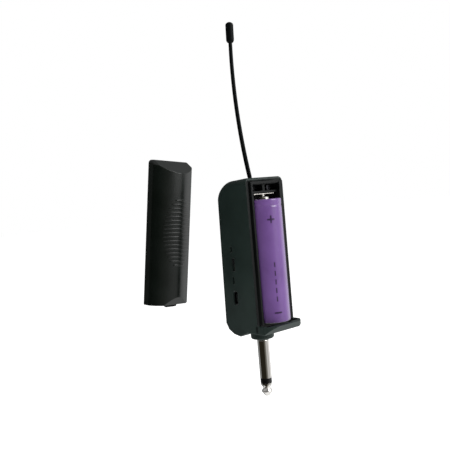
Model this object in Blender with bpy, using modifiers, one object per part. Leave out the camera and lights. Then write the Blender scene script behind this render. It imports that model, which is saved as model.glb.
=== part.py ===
"""Wireless guitar transmitter: a hand-sized housing that hangs from a 6.35 mm plug.

Frame: the origin is on the plug's axis, at the shoulder where the plug leaves the housing.
+Z runs up to the antenna, -Y is the battery side and -X is the side with the controls.
Sizes below are in millimetres; MM turns them into metres.
The battery cover is shown taken off: every piece of it hangs from the empty "cover_aside".
"""

import math

import bmesh
import bpy
from mathutils import Matrix, Vector

MM = 0.001
GAP = 0.3                       # clearance between neighbouring pieces

# housing
WIDTH = 27.2
RIM_Y = -11.3                   # plane on which the cover closes
BACK_TOP_Y, BACK_TOP_Z = 12.3, 77.1       # the back leans out a little towards its foot
BACK_FOOT_Y, BACK_FOOT_Z = 14.0, 10.6
BASE_Z = 6.4
HEEL = ((-1.8, 5.8), (3.2, 4.0), (8.0, 4.9), (11.9, 7.1))      # (y, z) under the rear half
TOP_Z = 87.7                    # at the antenna
TOP_FRONT_RISE = 1.1            # how much higher the top is at the rim
TOP_REAR_ROUND = 12.0           # reach in y of the large round at the rear of the top
WALL = 1.7
CASE_ROUND = 2.3
BOSS_RADIUS, BOSS_Z = 6.35, 1.1
COLLAR_RADIUS = 3.45
SHELF_TOP_Z = 10.9
SHELF_INSET = 0.5               # how far the shelf stands back from the cover's outline
SHELF_SLOPE = 52.0              # degrees that the shelf's front leans back below its edge
SHELF_EDGE_Y = -21.3
TAB_SLOT = (8.7, -18.8, -16.8, 9.3)       # width, front y, rear y, floor z

# cell, a standard 18650
CELL_RADIUS, CELL_LENGTH = 9.2, 65.0
CELL_Y, CELL_Z = -9.7, 11.75
CELL_TOP = CELL_Z + CELL_LENGTH
NUB_RADIUS, NUB_HEIGHT = 2.9, 1.2

# battery tray
TRAY_HALF_WIDTH = 11.0
TRAY_BACK_Y = 1.2
TRAY_Z = (9.6, 85.7)
TRAY_FLOOR_Z = 11.2
LIP_Y = -12.5
POCKET_HALF_WIDTH = CELL_RADIUS + 0.45
END_BLOCK_Z = 80.0
END_BLOCK_Y = -10.4
KEY_POCKET = (0.9, 9.9, -6.0, 81.2, 84.5)  # inner x, outer x, floor y, low z, high z
TRAY_SCREW_X, TRAY_SCREW_Z = 6.5, 82.8
POST_RADIUS, PILOT_RADIUS = 2.2, 1.1      # screw posts and the holes in them
SCREW_RADIUS = 0.8

# circuit board
BOARD_Y = (1.8, 3.0)
BOARD_Z = (12.0, 79.8)
BOARD_HALF_WIDTH = 10.6
PART_Y = BOARD_Y[1] + GAP       # where the components begin
BOARD_SCREWS = ((7.5, 74.0), (-7.5, 17.0))

# control side
SWITCH_SLOT = (2.6, 4.8, 39.4, 46.6)      # low y, high y, low z, high z
KNOB_LENGTH = 3.5
WINDOW_Y = (3.8, 5.2)
WINDOWS = {"upper": (49.8, 52.7), "lower": (32.4, 36.4)}
PORT = (2.3, 5.7, 21.2, 28.8)             # low y, high y, low z, high z
PORT_INNER_X = -7.2

# plug, 6.35 mm two-pole
PLUG_RADIUS = 3.175
SLEEVE_END, RING_END, PLUG_TIP_Z = -21.0, -23.7, -31.0
SHANK_RADIUS, SHANK_TOP = 2.6, 9.9
ROD_RADIUS, ROD_TOP = 0.9, 10.4

# antenna
ANTENNA_Y = -0.6
ANTENNA_LENGTH = 72.1
WHIP_RADIUS = (1.2, 1.0)        # at its root and at its top
WHIP_LEAN = 6.4                 # furthest that the whip leans towards the control side
WHIP_UPRIGHT_AT = 0.82          # share of its length at which it stands upright again
CAP_RADIUS, CAP_LENGTH = 2.1, 10.9

# battery cover, in its closed place
COVER_Z = (11.2, 88.2)
COVER_WALL = 1.5
COVER_REAR_Y = RIM_Y - GAP
CREST_Y = -24.0
SHOULDER_Y = -16.2              # where the side walls end and the arch begins
ARCH_POWER = 1.5                # 2 would make the arch an ellipse, less makes it more pointed
TOP_APEX_Z, BOTTOM_APEX_Z = 81.4, 15.8
COVER_HEAD_Y, COVER_FOOT_Y = -13.8, -21.3         # fronts of its upper and lower edges
TAB = (8.0, -18.5, -17.1, 9.6, 11.4)
BEAD_CENTRE = (0.0, -13.9, 84.0)
BEAD_RADIUS = 1.4
BEAD_ASIDE = (-32.3, 27.0, 97.2)          # where the cover's bead is when the cover lies aside
COVER_LEAN = 9.8                # degrees, about the direction below
LEAN_AXIS = (0.509, 0.529, 0.678)


# ---------------------------------------------------------------- scene and materials

def clear_scene():
    for obj in list(bpy.data.objects):
        bpy.data.objects.remove(obj, do_unlink=True)


def new_collection(name):
    collection = bpy.data.collections.new(name)
    bpy.context.scene.collection.children.link(collection)
    return collection


clear_scene()
PARTS = new_collection("wireless_guitar_transmitter")
CUTTERS = new_collection("cutters")


def material(name, colour, roughness, metallic=0.0):
    mat = bpy.data.materials.new(name)
    mat.use_nodes = True
    shader = mat.node_tree.nodes["Principled BSDF"]
    shader.inputs["Base Color"].default_value = (*colour, 1.0)
    shader.inputs["Roughness"].default_value = roughness
    shader.inputs["Metallic"].default_value = metallic
    mat.diffuse_color = (*colour, 1.0)
    return mat


CASE_PLASTIC = material("case_plastic", (0.022, 0.030, 0.028), 0.45)
TRAY_PLASTIC = material("tray_plastic", (0.010, 0.012, 0.012), 0.50)
GLOSS_BLACK = material("gloss_black", (0.006, 0.006, 0.007), 0.20)
RUBBER = material("antenna_rubber", (0.010, 0.012, 0.013), 0.55)
SLEEVE_PURPLE = material("cell_wrap_purple", (0.17, 0.07, 0.33), 0.30)
STEEL = material("nickel_steel", (0.62, 0.60, 0.56), 0.28, 1.0)
CHROME = material("plug_nickel", (0.78, 0.76, 0.72), 0.12, 1.0)
PAPER_WHITE = material("insulator_white", (0.80, 0.79, 0.75), 0.70)
BOARD_GREEN = material("board_green", (0.01, 0.13, 0.05), 0.40)
CHIP_BLACK = material("chip_black", (0.015, 0.015, 0.016), 0.50)
WIRE_RED = material("wire_red", (0.50, 0.02, 0.02), 0.45)
WIRE_BLACK = material("wire_black", (0.01, 0.01, 0.01), 0.45)
BLACK_STEEL = material("black_steel", (0.05, 0.05, 0.055), 0.35, 1.0)
LIGHT_PIPE = material("light_pipe", (0.012, 0.013, 0.014), 0.15)
LED_WHITE = material("led_white", (0.70, 0.72, 0.68), 0.20)


# ---------------------------------------------------------------- modelling helpers

def place(mesh, name, mat, origin=(0, 0, 0)):
    """Link a mesh as a named object, with its origin moved to a point given in millimetres."""
    shift = Vector(origin) * MM
    mesh.transform(Matrix.Translation(-shift))
    obj = bpy.data.objects.new(name, mesh)
    obj.location = shift
    if mat is None:
        CUTTERS.objects.link(obj)
        obj.hide_render = True
        obj.display_type = "WIRE"
    else:
        mesh.materials.append(mat)
        PARTS.objects.link(obj)
    return obj


def box(name, xs, ys, zs, mat=None):
    bm = bmesh.new()
    bmesh.ops.create_cube(bm, size=1.0)
    size = Vector((xs[1] - xs[0], ys[1] - ys[0], zs[1] - zs[0])) * MM
    centre = Vector((xs[0] + xs[1], ys[0] + ys[1], zs[0] + zs[1])) * MM / 2
    bmesh.ops.scale(bm, vec=size, verts=bm.verts)
    bmesh.ops.translate(bm, vec=centre, verts=bm.verts)
    mesh = bpy.data.meshes.new(name)
    bm.to_mesh(mesh)
    bm.free()
    return place(mesh, name, mat)


AXIS_TURN = {
    "x": Matrix.Rotation(math.radians(90), 4, "Y"),
    "y": Matrix.Rotation(math.radians(-90), 4, "X"),
    "z": Matrix.Identity(4),
}


def cylinder(name, radius, span, centre, axis="z", mat=None, segments=32):
    """A cylinder; span is its reach along the axis and centre its other two coordinates."""
    bm = bmesh.new()
    length = (span[1] - span[0]) * MM
    bmesh.ops.create_cone(bm, cap_ends=True, segments=segments, radius1=radius * MM,
                          radius2=radius * MM, depth=length)
    middle = sum(span) / 2
    where = {"x": (middle, *centre), "y": (centre[0], middle, centre[1]), "z": (*centre, middle)}[axis]
    bmesh.ops.transform(bm, matrix=Matrix.Translation(Vector(where) * MM) @ AXIS_TURN[axis], verts=bm.verts)
    mesh = bpy.data.meshes.new(name)
    bm.to_mesh(mesh)
    bm.free()
    mesh.shade_smooth()
    mesh.set_sharp_from_angle(angle=math.radians(40))
    return place(mesh, name, mat)


def curve_mesh(curve, name):
    """The evaluated mesh of a curve, with its caps welded."""
    holder = bpy.data.objects.new(name, curve)
    PARTS.objects.link(holder)
    graph = bpy.context.evaluated_depsgraph_get()
    mesh = bpy.data.meshes.new_from_object(holder.evaluated_get(graph), depsgraph=graph)
    bpy.data.objects.remove(holder)
    bm = bmesh.new()
    bm.from_mesh(mesh)
    bmesh.ops.remove_doubles(bm, verts=bm.verts, dist=1e-6)
    bmesh.ops.recalc_face_normals(bm, faces=bm.faces)
    bm.to_mesh(mesh)
    bm.free()
    mesh.materials.clear()
    return mesh


def outline(name, points, span, axis, mat=None):
    """A flat outline extruded along an axis: (x, y) points along z, or (y, z) points along x."""
    curve = bpy.data.curves.new(name, "CURVE")
    curve.dimensions = "2D"
    curve.fill_mode = "BOTH"
    curve.extrude = (span[1] - span[0]) * MM / 2
    spline = curve.splines.new("POLY")
    spline.points.add(len(points) - 1)
    for point, (u, v) in zip(spline.points, points):
        point.co = (u * MM, v * MM, 0.0, 1.0)
    spline.use_cyclic_u = True
    mesh = curve_mesh(curve, name)
    middle = sum(span) * MM / 2
    if axis == "x":
        # the outline's own (u, v, depth) become (depth, u, v)
        turn = Matrix(((0, 0, 1, middle), (1, 0, 0, 0), (0, 1, 0, 0), (0, 0, 0, 1)))
    else:
        turn = Matrix.Translation((0, 0, middle))
    mesh.transform(turn)
    return place(mesh, name, mat)


def turned(name, profile, mat, centre=(0.0, 0.0), steps=32):
    """A solid of revolution about a vertical axis; profile holds (radius, z) from top to bottom."""
    bm = bmesh.new()
    verts = [bm.verts.new((radius * MM, 0.0, z * MM)) for radius, z in profile]
    closed = profile[0][0] > 0
    pairs = list(zip(verts, verts[1:])) + ([(verts[-1], verts[0])] if closed else [])
    for pair in pairs:
        bm.edges.new(pair)
    mesh = bpy.data.meshes.new(name)
    bm.to_mesh(mesh)
    bm.free()
    obj = place(mesh, name, mat)
    obj.location = Vector((*centre, 0.0)) * MM
    screw = obj.modifiers.new("turn", "SCREW")
    screw.steps = screw.render_steps = steps
    screw.use_merge_vertices = True
    screw.merge_threshold = 1e-6
    screw.use_smooth_shade = True
    return obj


def tube(name, points, radius, mat, sides=2, tapers=None):
    """A round wire through points in millimetres."""
    curve = bpy.data.curves.new(name, "CURVE")
    curve.dimensions = "3D"
    curve.bevel_depth = radius * MM
    curve.bevel_resolution = sides
    curve.use_fill_caps = True
    spline = curve.splines.new("POLY")
    spline.points.add(len(points) - 1)
    for index, point in enumerate(points):
        spline.points[index].co = (*(Vector(point) * MM), 1.0)
        spline.points[index].radius = tapers[index] if tapers else 1.0
    mesh = curve_mesh(curve, name)
    mesh.shade_smooth()
    mesh.set_sharp_from_angle(angle=math.radians(50))
    return place(mesh, name, mat)


def smooth_points(points, per_span=5):
    """Points on a smooth curve that passes through the given ones."""
    knots = [Vector(p) for p in points]
    result = []
    for i in range(len(knots) - 1):
        before = knots[max(i - 1, 0)]
        after = knots[min(i + 2, len(knots) - 1)]
        slope_a = (knots[i + 1] - before) / 2
        slope_b = (after - knots[i]) / 2
        for step in range(per_span):
            t = step / per_span
            h = (2 * t**3 - 3 * t**2 + 1, t**3 - 2 * t**2 + t, 3 * t**2 - 2 * t**3, t**3 - t**2)
            result.append(knots[i] * h[0] + slope_a * h[1] + knots[i + 1] * h[2] + slope_b * h[3])
    return result + [knots[-1]]


def boolean(target, tool, operation="DIFFERENCE"):
    modifier = target.modifiers.new(tool.name, "BOOLEAN")
    modifier.operation = operation
    modifier.solver = "EXACT"
    modifier.object = tool


def cut(target, *tools):
    for tool in tools:
        boolean(target, tool)


def join(target, *tools):
    for tool in tools:
        boolean(target, tool, "UNION")


def soften(obj, width, segments=2, angle=30.0):
    bevel = obj.modifiers.new("rounded_edges", "BEVEL")
    bevel.width = width * MM
    bevel.segments = segments
    bevel.limit_method = "ANGLE"
    bevel.angle_limit = math.radians(angle)
    return bevel


def half_space(name, point, lean, sign):
    """A block that removes what lies in front of a plane through (y, z) point.

    The plane leans back by lean degrees from upright; sign +1 leans it back upwards, -1 downwards.
    """
    block = box(name, (-40, 40), (-60, 0), (-60, 60))
    turn = Matrix.Rotation(math.radians(-sign * lean), 4, "X")
    block.data.transform(turn)
    block.location = Vector((0.0, *point)) * MM
    return block


# ---------------------------------------------------------------- housing

def cover_section(inset=0.0, rear=0.0, steps=7):
    """The cover's outer section in plan, also the shelf's; inset moves it inwards."""
    half = WIDTH / 2 - inset
    depth = SHOULDER_Y - CREST_Y - inset
    arch = []
    for step in range(steps + 1):
        turn = math.radians(90 * step / steps)
        arch.append((half * math.cos(turn) ** (2 / ARCH_POWER),
                     SHOULDER_Y - depth * math.sin(turn) ** (2 / ARCH_POWER)))
    points = [(half, rear)] + arch[:-1] + [(0.0, SHOULDER_Y - depth)]
    return points + [(-x, y) for x, y in reversed(points[:-1])]


def back_y(z):
    """The housing's back at a height."""
    share = (z - BACK_FOOT_Z) / (BACK_TOP_Z - BACK_FOOT_Z)
    return BACK_FOOT_Y + (BACK_TOP_Y - BACK_FOOT_Y) * share


def side_outline(inset=0.0, steps=10):
    """The housing's outline seen from the side, as (y, z) points, reaching out in front of the rim."""
    front = RIM_Y - 6.0
    if inset:
        floor = BASE_Z + 2.0
        foot = [(front, floor), (7.0, floor)]
    else:
        foot = [(front, BASE_Z), (HEEL[0][0] - 1.0, BASE_Z), *HEEL]
    centre_y = BACK_TOP_Y - TOP_REAR_ROUND
    high = TOP_Z - BACK_TOP_Z - inset
    points = foot + [(BACK_FOOT_Y - inset, BACK_FOOT_Z + inset)]
    for step in range(steps + 1):
        turn = math.radians(90 * step / steps)
        points.append((centre_y + (TOP_REAR_ROUND - inset) * math.cos(turn), BACK_TOP_Z + high * math.sin(turn)))
    return points + [(front, TOP_Z + TOP_FRONT_RISE - inset)]


def rear_case():
    half = WIDTH / 2
    case = outline("rear_case", side_outline(), (-half, half), "x", CASE_PLASTIC)
    soften(case, CASE_ROUND, segments=4)
    cut(case, box("case_front_trim", (-40, 40), (-60, RIM_Y), (-10, 120)))

    shelf = outline("shelf_block", cover_section(SHELF_INSET, rear=RIM_Y + 1.2), (BASE_Z, SHELF_TOP_Z), "z")
    cut(shelf, half_space("shelf_facet", (SHELF_EDGE_Y, SHELF_TOP_Z), SHELF_SLOPE, -1))
    boss = cylinder("boss_block", BOSS_RADIUS, (BOSS_Z, BASE_Z + 1), (0, 0), segments=48)
    soften(boss, 0.6)
    collar = cylinder("collar_block", COLLAR_RADIUS, (GAP, BOSS_Z + 1), (0, 0))
    join(case, shelf, boss, collar)

    cut(case, outline("case_cavity", side_outline(WALL), (-half + WALL, half - WALL), "x"))
    for x, z in BOARD_SCREWS:
        join(case, cylinder(f"board_post_{z:.0f}", POST_RADIUS, (PART_Y, back_y(z) - 1), (x, z), "y"))
    for side in (-1, 1):
        join(case, cylinder(f"tray_post_{side}", POST_RADIUS, (TRAY_BACK_Y + GAP, 7.8),
                            (side * TRAY_SCREW_X, TRAY_SCREW_Z), "y"))
    for x, z in BOARD_SCREWS:
        cut(case, cylinder(f"board_pilot_{z:.0f}", PILOT_RADIUS, (0, 9.5), (x, z), "y", segments=16))
    for side in (-1, 1):
        cut(case, cylinder(f"tray_pilot_{side}", PILOT_RADIUS, (0, 7.3), (side * TRAY_SCREW_X, TRAY_SCREW_Z),
                           "y", segments=16))
    cut(case, cylinder("plug_hole", SHANK_RADIUS + GAP, (-5, 12), (0, 0)))
    cut(case, cylinder("antenna_hole", 2.3 + GAP, (80, 95), (0, ANTENNA_Y)))

    outside = (-20.0, -half + WALL + 0.5)
    cut(case, box("switch_slot", outside, SWITCH_SLOT[:2], SWITCH_SLOT[2:]))
    for name, zs in WINDOWS.items():
        cut(case, box(f"window_{name}", outside, WINDOW_Y, zs))
    port = box("port_hole", outside, PORT[:2], PORT[2:])
    soften(port, 0.9)
    cut(case, port)
    width, front, rear, floor = TAB_SLOT
    cut(case, box("tab_slot", (-width / 2, width / 2), (front, rear), (floor, SHELF_TOP_Z + 5)))
    return case


def battery_tray():
    half = TRAY_HALF_WIDTH
    tray = box("battery_tray", (-half, half), (LIP_Y, TRAY_BACK_Y), TRAY_Z, TRAY_PLASTIC)
    inner = POCKET_HALF_WIDTH
    cut(tray, cylinder("cell_pocket", inner, (TRAY_FLOOR_Z, END_BLOCK_Z), (0, CELL_Y), segments=48))
    cut(tray, box("cell_way_in", (-inner, inner), (-30, CELL_Y), (TRAY_FLOOR_Z, END_BLOCK_Z)))
    cut(tray, box("end_block_front", (-inner, inner), (-30, END_BLOCK_Y), (END_BLOCK_Z - 1, 100)))
    cut(tray, box("shelf_clearance", (-30, 30), (-30, RIM_Y + GAP), (0, TRAY_FLOOR_Z)))
    near, far, floor_y, low, high = KEY_POCKET
    for side in (-1, 1):
        xs = sorted((side * near, side * far))
        cut(tray, box(f"key_pocket_{side}", xs, (-30, floor_y), (low, high)))
        cut(tray, cylinder(f"tray_screw_hole_{side}", PILOT_RADIUS, (-8, 4),
                           (side * TRAY_SCREW_X, TRAY_SCREW_Z), "y", segments=16))
    cut(tray, cylinder("antenna_clearance", 3.4, (END_BLOCK_Z + 1.2, 100), (0, ANTENNA_Y)))
    cut(tray, cylinder("plug_clearance", 4.7, (5, TRAY_FLOOR_Z + 0.5), (0, 0)))
    cut(tray, cylinder("spring_pocket", 2.7, (9.9, 15), (0, -8.0)))
    cut(tray, cylinder("negative_tail_hole", 0.8, (5, 11), (0, -8.0), segments=16))
    cut(tray, box("positive_tail_slot", (-1.5, 1.5), (-4, 3), (79.1, END_BLOCK_Z + 0.1)))
    return tray


# ---------------------------------------------------------------- battery and contacts

def cell():
    r, low, top = CELL_RADIUS, CELL_Z, CELL_TOP
    wrap = 0.25
    centre = (0.0, CELL_Y)
    turned("cell_sleeve", [(7.5, top), (r - 0.5, top), (r, top - 0.5), (r, low + 0.4), (r - 0.4, low),
                           (7.0, low), (7.0, low + wrap), (r - 0.6, low + wrap), (r - wrap, low + 0.6),
                           (r - wrap, top - 0.6), (r - 0.6, top - wrap), (7.5, top - wrap)],
           SLEEVE_PURPLE, centre, steps=40)
    can = r - wrap - GAP
    turned("cell_can", [(0, top - 0.95), (can - 0.6, top - 0.95), (can, top - 1.4), (can, low + 1.2),
                        (can - 0.5, low + wrap + GAP), (6.7, low + wrap + GAP), (6.7, low + 0.1),
                        (0, low + 0.1)], STEEL, centre, steps=40)
    turned("cell_insulator_ring", [(NUB_RADIUS + GAP, top - 0.2), (7.2, top - 0.2), (7.2, top - 0.65),
                                   (NUB_RADIUS + GAP, top - 0.65)], PAPER_WHITE, centre)
    turned("cell_positive_cap", [(0, top + NUB_HEIGHT), (NUB_RADIUS - 0.5, top + NUB_HEIGHT),
                                 (NUB_RADIUS, top + NUB_HEIGHT - 0.4), (NUB_RADIUS, top - 0.65),
                                 (0, top - 0.65)], STEEL, centre)


def contacts():
    plate = box("positive_contact", (-7.3, 7.3), (-10.2, -4.5), (79.4, 79.75), STEEL)
    join(plate, box("positive_tail", (-1.2, 1.2), (-5.0, 1.5), (79.4, 79.75)))
    join(plate, cylinder("positive_dimple", 1.6, (CELL_TOP + NUB_HEIGHT + GAP, 79.6), (0, CELL_Y + 1.2)))

    negative = cylinder("negative_contact", 2.4, (10.2, 10.5), (0, -8.0), mat=STEEL)
    join(negative, cylinder("negative_tail", 0.5, (9.2, 10.4), (0, -8.0), segments=16))

    turns, per_turn, wire = 2.0, 12, 0.2
    low, high = 11.05, CELL_Z - wire - 0.05
    count = int(turns * per_turn)
    points = []
    for i in range(count + 1):
        share = i / count
        angle = math.tau * turns * share
        radius = 2.1 - 0.9 * share
        points.append((radius * math.cos(angle), -8.0 + radius * math.sin(angle), low + (high - low) * share))
    tube("negative_spring", points, wire, STEEL)


# ---------------------------------------------------------------- electronics

def circuit_board():
    half = BOARD_HALF_WIDTH
    board = box("main_board", (-half, half), BOARD_Y, BOARD_Z, BOARD_GREEN)
    for x, z in BOARD_SCREWS:
        cut(board, cylinder(f"board_hole_{z:.0f}", PILOT_RADIUS, (0, 5), (x, z), "y", segments=16))
    cut(board, box("positive_tail_notch", (-1.6, 1.6), (0, 2.1), (78.9, 90)))
    cut(board, box("socket_notch", (-20, PORT_INNER_X + GAP), (0, 5), PORT[2:]))

    y = PART_Y
    can = box("rf_shield_can", (-6.5, 4.0), (y, y + 2.4), (57.5, 71.5), STEEL)
    soften(can, 0.5)
    box("controller_chip", (-4.0, 3.0), (y, y + 1.0), (44.5, 51.5), CHIP_BLACK)
    box("audio_chip", (0.0, 5.0), (y, y + 1.3), (31.5, 37.5), CHIP_BLACK)
    box("charger_chip", (-4.4, -0.6), (y, y + 1.3), (23.0, 27.0), CHIP_BLACK)
    inductor = box("power_inductor", (1.5, 6.5), (y, y + 2.8), (21.5, 26.5), CHIP_BLACK)
    soften(inductor, 0.8)
    crystal = box("crystal_can", (-3.4, 3.4), (y, y + 1.4), (53.3, 55.9), STEEL)
    soften(crystal, 0.5)
    for number, z in enumerate((49.0, 42.5), start=1):
        capacitor = cylinder(f"capacitor_{number}", 2.5, (y, y + 5.4), (7.4, z), "y", STEEL, segments=24)
        soften(capacitor, 0.3, segments=1)


def fasteners():
    head_y = (TRAY_BACK_Y + 0.05, BOARD_Y[0] - 0.05)
    for number, (x, z) in enumerate(BOARD_SCREWS, start=1):
        screw = cylinder(f"board_screw_{number}", SCREW_RADIUS, (head_y[0] + 0.1, 8.8), (x, z), "y", STEEL,
                         segments=16)
        join(screw, cylinder(f"board_screw_head_{number}", 1.7, head_y, (x, z), "y", segments=24))
    for number, side in enumerate((-1, 1), start=1):
        where = (side * TRAY_SCREW_X, TRAY_SCREW_Z)
        floor = KEY_POCKET[2]
        screw = cylinder(f"tray_screw_{number}", SCREW_RADIUS, (floor - 1.5, 7.0), where, "y", BLACK_STEEL,
                         segments=16)
        join(screw, cylinder(f"tray_screw_head_{number}", 1.5, (floor - 1.5, floor - GAP), where, "y",
                             segments=24))
        cut(screw, box(f"tray_screw_slot_{number}", (where[0] - 0.2, where[0] + 0.2), (floor - 3, floor - 1.0),
                       (where[1] - 1.1, where[1] + 1.1)))


def controls():
    y = PART_Y
    side = -WIDTH / 2
    box("switch_body", (-10.9, -7.4), (y, y + 2.8), (38.8, 47.2), STEEL)
    top = SWITCH_SLOT[3] - GAP
    knob = box("switch_knob", (side + 0.1, -11.2), (SWITCH_SLOT[0] + GAP, SWITCH_SLOT[1] - GAP),
               (top - KNOB_LENGTH, top), GLOSS_BLACK)
    soften(knob, 0.3)
    for name, (low, high) in WINDOWS.items():
        pipe = box(f"light_pipe_{name}", (side + 0.2, -10.8), (WINDOW_Y[0] + GAP, WINDOW_Y[1] - GAP),
                   (low + GAP, high - GAP), LIGHT_PIPE)
        soften(pipe, 0.15, segments=1)
        middle = (low + high) / 2
        box(f"indicator_led_{name}", (-10.4, -8.8), (y, y + 1.9), (middle - 0.9, middle + 0.9), LED_WHITE)

    y0, y1, z0, z1 = PORT
    shell = box("charging_socket_shell", (side + 0.5, PORT_INNER_X), (y0 + GAP, y1 - GAP),
                (z0 + GAP, z1 - GAP), BLACK_STEEL)
    soften(shell, 0.6)
    cut(shell, box("socket_mouth", (-15, PORT_INNER_X - 0.8), (y0 + 0.7, y1 - 0.7), (z0 + 0.7, z1 - 0.7)))
    middle = (y0 + y1) / 2
    box("charging_socket_tongue", (side + 1.0, PORT_INNER_X - 0.8 - GAP), (middle - 0.3, middle + 0.3),
        (23.0, 27.0), GLOSS_BLACK)


def leads():
    tube("signal_lead", smooth_points([(0, 0.2, 10.95), (0, 2.4, 10.9), (0, 4.3, 12.2), (0, 4.0, 16.0)]), 0.3,
         WIRE_RED)
    tube("ground_lead", smooth_points([(3.1, 3.5, 9.2), (3.6, 4.6, 10.0), (3.6, 4.9, 12.2), (3.2, 4.0, 16.0)]),
         0.3, WIRE_BLACK)
    tube("negative_lead", smooth_points([(0.9, -8.0, 8.95), (5.0, -6.0, 8.95), (7.2, 0.0, 8.95),
                                         (7.4, 4.4, 10.4), (7.2, 4.0, 15.0)]), 0.25, WIRE_BLACK)
    tube("antenna_lead", smooth_points([(0, 0.2, 82.4), (0, 3.0, 82.2), (0, 4.4, 80.6), (0, 4.0, 76.5)]), 0.35,
         WIRE_BLACK)


# ---------------------------------------------------------------- plug and antenna

def plug():
    bore = 2.0
    turned("plug_sleeve", [(bore, SHANK_TOP), (SHANK_RADIUS, SHANK_TOP), (SHANK_RADIUS, 0.0),
                           (PLUG_RADIUS - 0.1, 0.0), (PLUG_RADIUS, -0.2), (PLUG_RADIUS, SLEEVE_END),
                           (bore, SLEEVE_END)], CHROME)
    turned("plug_insulator_tube", [(1.2, SHANK_TOP - 0.2), (1.7, SHANK_TOP - 0.2), (1.7, SLEEVE_END),
                                   (1.2, SLEEVE_END)], GLOSS_BLACK)
    turned("plug_insulator_ring", [(1.2, SLEEVE_END - GAP), (PLUG_RADIUS, SLEEVE_END - GAP),
                                   (PLUG_RADIUS, RING_END), (1.2, RING_END)], GLOSS_BLACK)
    end = PLUG_TIP_Z
    turned("plug_tip", [(0, ROD_TOP), (ROD_RADIUS, ROD_TOP), (ROD_RADIUS, RING_END - GAP),
                        (2.9, RING_END - GAP), (2.9, RING_END - 0.9), (1.95, end + 4.7), (1.95, end + 4.3),
                        (2.75, end + 3.3), (2.95, end + 2.8), (2.8, end + 2.3), (1.3, end + 0.5),
                        (0.8, end + 0.12), (0, end)], CHROME)
    nut = cylinder("plug_nut", 4.2, (8.7, 9.3), (0, 0), mat=STEEL, segments=6)
    nut.data.set_sharp_from_angle(angle=math.radians(20))
    cut(nut, cylinder("nut_bore", SHANK_RADIUS + GAP, (5, 12), (0, 0)))


def whip_point(share):
    """The whip's centre line: it leaves the housing leaning and straightens as it rises."""
    lean = WHIP_LEAN * (1 - (1 - share / WHIP_UPRIGHT_AT) ** 2)
    return (-lean, ANTENNA_Y, TOP_Z + 0.5 + ANTENNA_LENGTH * share)


def antenna():
    under = TOP_Z - WALL        # the ceiling that the socket's flange sits against
    turned("antenna_socket", [(1.25, TOP_Z - GAP), (2.3, TOP_Z - GAP), (2.3, under), (3.0, under - GAP),
                              (3.0, 84.6), (1.5, 84.6), (1.5, 83.2), (1.25, 83.2)], STEEL, (0.0, ANTENNA_Y))
    count = 14
    points = [whip_point(i / count) for i in range(count + 1)]
    low, high = WHIP_RADIUS
    tapers = [1 - (1 - high / low) * i / count for i in range(count + 1)]
    whip = tube("antenna_whip", points, low, RUBBER, sides=4, tapers=tapers)
    pivot = Vector((0, ANTENNA_Y, TOP_Z)) * MM
    whip.data.transform(Matrix.Translation(-pivot))
    whip.location = pivot
    start = Vector(points[-1])
    lean = math.degrees(math.atan2(points[-1][0] - points[-2][0], points[-1][2] - points[-2][2]))
    length, radius = CAP_LENGTH, CAP_RADIUS
    dome = [(0, length)]
    for step in range(1, 7):
        turn = math.radians(15 * step)
        dome.append((radius * math.sin(turn), length - 1.6 * (1 - math.cos(turn))))
    shape = dome + [(radius, 1.2), (radius - 0.35, 0.4), (1.1, 0.0), (0, 0.0)]
    cap = turned("antenna_tip_cap", shape, RUBBER)
    cap.location = (start + Vector((0, 0, GAP))) * MM
    cap.rotation_euler = (0, math.radians(lean), 0)


# ---------------------------------------------------------------- battery cover

def battery_cover():
    aside = bpy.data.objects.new("cover_aside", None)
    PARTS.objects.link(aside)
    bottom_lean = math.degrees(math.atan2(COVER_FOOT_Y - CREST_Y, BOTTOM_APEX_Z - COVER_Z[0]))
    top_lean = math.degrees(math.atan2(COVER_HEAD_Y - CREST_Y, COVER_Z[1] - TOP_APEX_Z))

    cover = outline("battery_cover", cover_section(rear=COVER_REAR_Y), COVER_Z, "z", CASE_PLASTIC)
    cut(cover, half_space("cover_top_facet", (CREST_Y, TOP_APEX_Z), top_lean, 1))
    cut(cover, half_space("cover_bottom_facet", (CREST_Y, BOTTOM_APEX_Z), bottom_lean, -1))
    hollow = outline("cover_hollow", cover_section(COVER_WALL, rear=0.0),
                     (COVER_Z[0] - 5, COVER_Z[1] - COVER_WALL), "z")
    for name, apex, lean, sign in (("hollow_top_facet", TOP_APEX_Z, top_lean, 1),
                                   ("hollow_bottom_facet", BOTTOM_APEX_Z, bottom_lean, -1)):
        back = COVER_WALL / math.cos(math.radians(lean))
        cut(hollow, half_space(name, (CREST_Y + back, apex), lean, sign))
    cut(cover, hollow)

    width, front, rear, low, high = TAB
    tab = box("cover_tab", (-width / 2, width / 2), (front, rear), (low, high), GLOSS_BLACK)
    soften(tab, 0.35)
    bead_mesh = bpy.data.meshes.new("cover_snap_bead")
    bm = bmesh.new()
    bmesh.ops.create_uvsphere(bm, u_segments=20, v_segments=12, radius=BEAD_RADIUS * MM)
    bmesh.ops.translate(bm, vec=Vector(BEAD_CENTRE) * MM, verts=bm.verts)
    bm.to_mesh(bead_mesh)
    bm.free()
    bead_mesh.shade_smooth()
    bead = place(bead_mesh, "cover_snap_bead", GLOSS_BLACK)

    # the empty sits in the bead's centre, about which the cover turns when it is moved
    centre = Vector(BEAD_CENTRE) * MM
    moved = [cover, tab, bead] + [m.object for m in cover.modifiers if m.type == "BOOLEAN"]
    moved += [m.object for m in hollow.modifiers if m.type == "BOOLEAN"]
    for piece in moved:
        piece.location -= centre
        piece.parent = aside
    aside.location = Vector(BEAD_ASIDE) * MM
    aside.rotation_mode = "QUATERNION"
    aside.rotation_quaternion = Matrix.Rotation(math.radians(COVER_LEAN), 3, Vector(LEAN_AXIS)).to_quaternion()


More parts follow.
